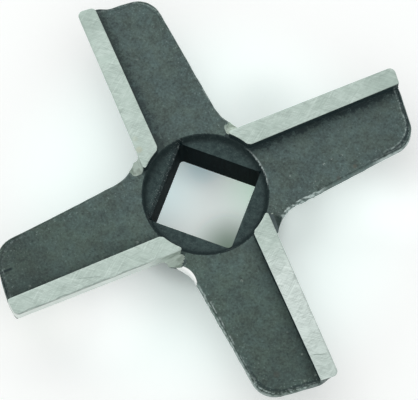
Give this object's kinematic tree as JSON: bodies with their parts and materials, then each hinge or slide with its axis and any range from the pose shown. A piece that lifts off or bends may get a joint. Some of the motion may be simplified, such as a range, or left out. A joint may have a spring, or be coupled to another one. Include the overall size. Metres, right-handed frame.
{
  "type": "meat grinder knife",
  "caption": "Pinwheel meat grinder knife with a square bore, raised ground lands along its cutting edges and dark as-forged webs.",
  "frame": {"origin": "on the bore's axis at the hub's back face, which the knife rests on", "axes": "+Z along the bore's axis towards the cutting lands; the square bore's sides lie along X and Y; the first arm's leading edge points 43 degrees from +X towards +Y"},
  "size_m": [0.0562, 0.0562, 0.011],
  "materials": {
    "forged_steel": "dark as-forged scale on the webs and hub, ground bright on the lands and leading faces"
  },
  "bodies": {
    "root": {"knife": "forged_steel"}
  },
  "joints": []
}
